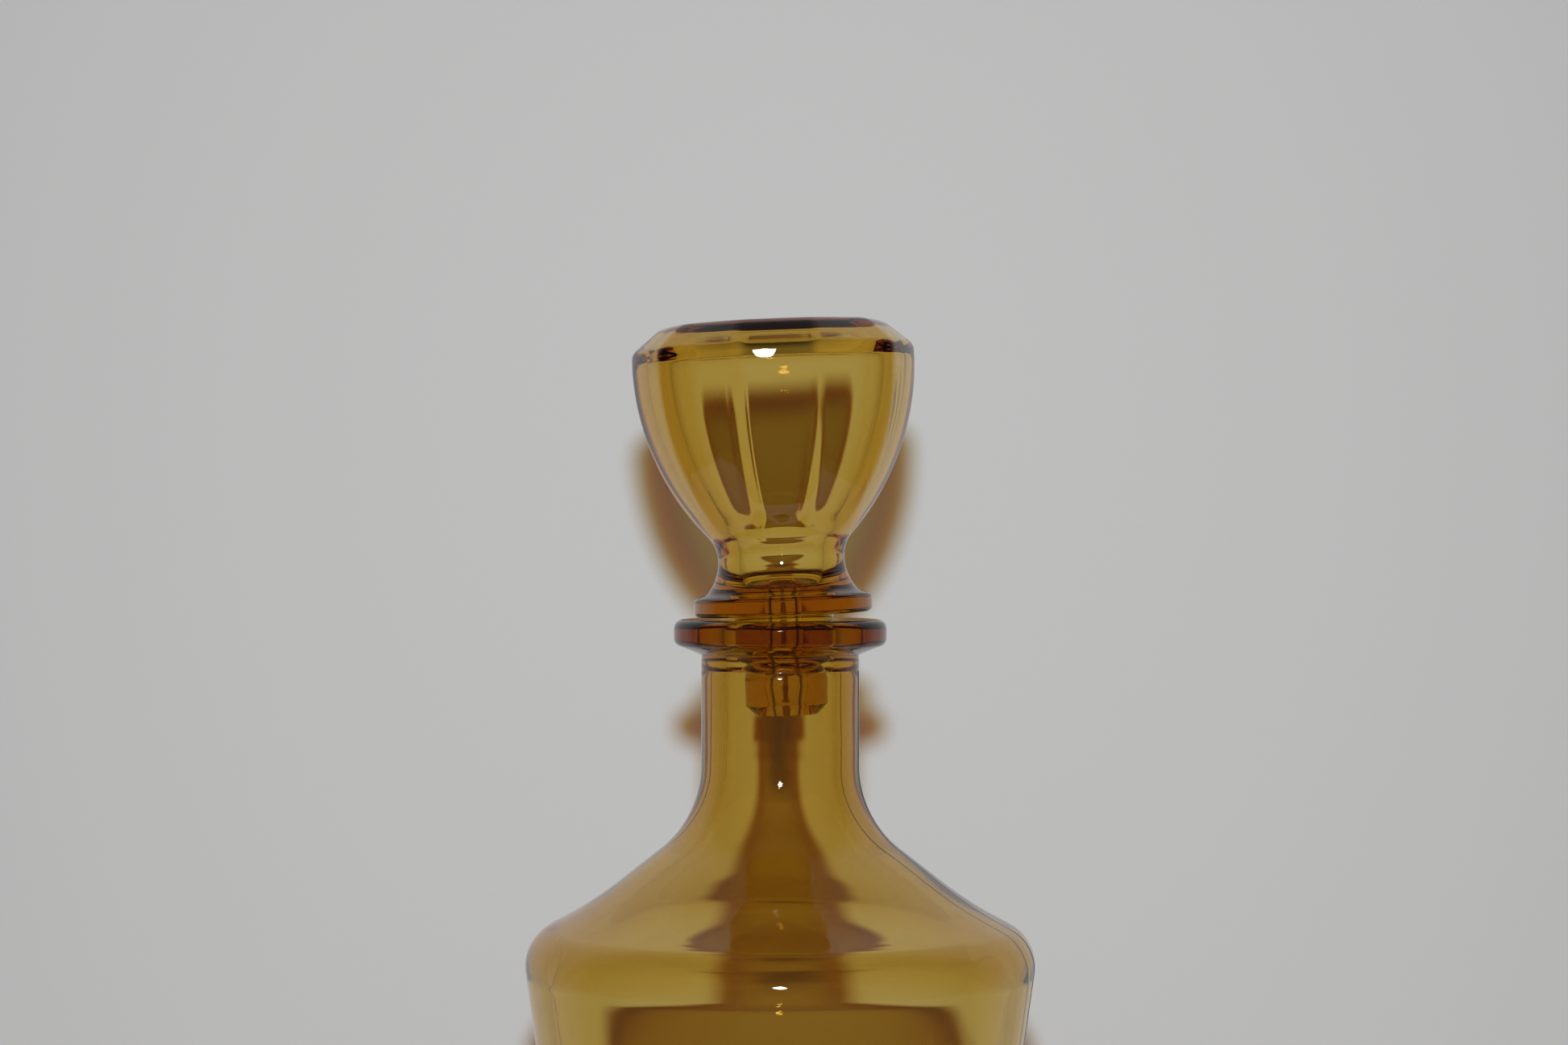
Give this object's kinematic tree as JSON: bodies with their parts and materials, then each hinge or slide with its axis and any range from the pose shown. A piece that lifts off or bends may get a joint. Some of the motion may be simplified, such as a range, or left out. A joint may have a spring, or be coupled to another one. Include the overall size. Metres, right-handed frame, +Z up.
{
  "type": "stoppered carafe",
  "caption": "Amber glass carafe with a wide sloping shoulder and collared neck, closed by a hollow panelled glass stopper that lifts out.",
  "frame": {"origin": "centre of the base, on the surface that the carafe stands on", "axes": "+Z up along the carafe's axis; the stopper leans a little towards -X, and the picture looks along +Y"},
  "size_m": [0.1, 0.1, 0.2515],
  "materials": {
    "amber_blown_glass": "clear amber, glossy, with faint ripples and seeds",
    "amber_moulded_glass": "clear amber, glossy, fire-polished edges"
  },
  "bodies": {
    "carafe_body": {"carafe": "amber_blown_glass"},
    "stopper_body": {"stopper": "amber_moulded_glass"}
  },
  "joints": [
    {"name": "stopper_lift", "type": "slide", "parent": "carafe_body", "child": "stopper_body", "axis": [0, 0, 1], "range_m": [0, 0.06]}
  ]
}
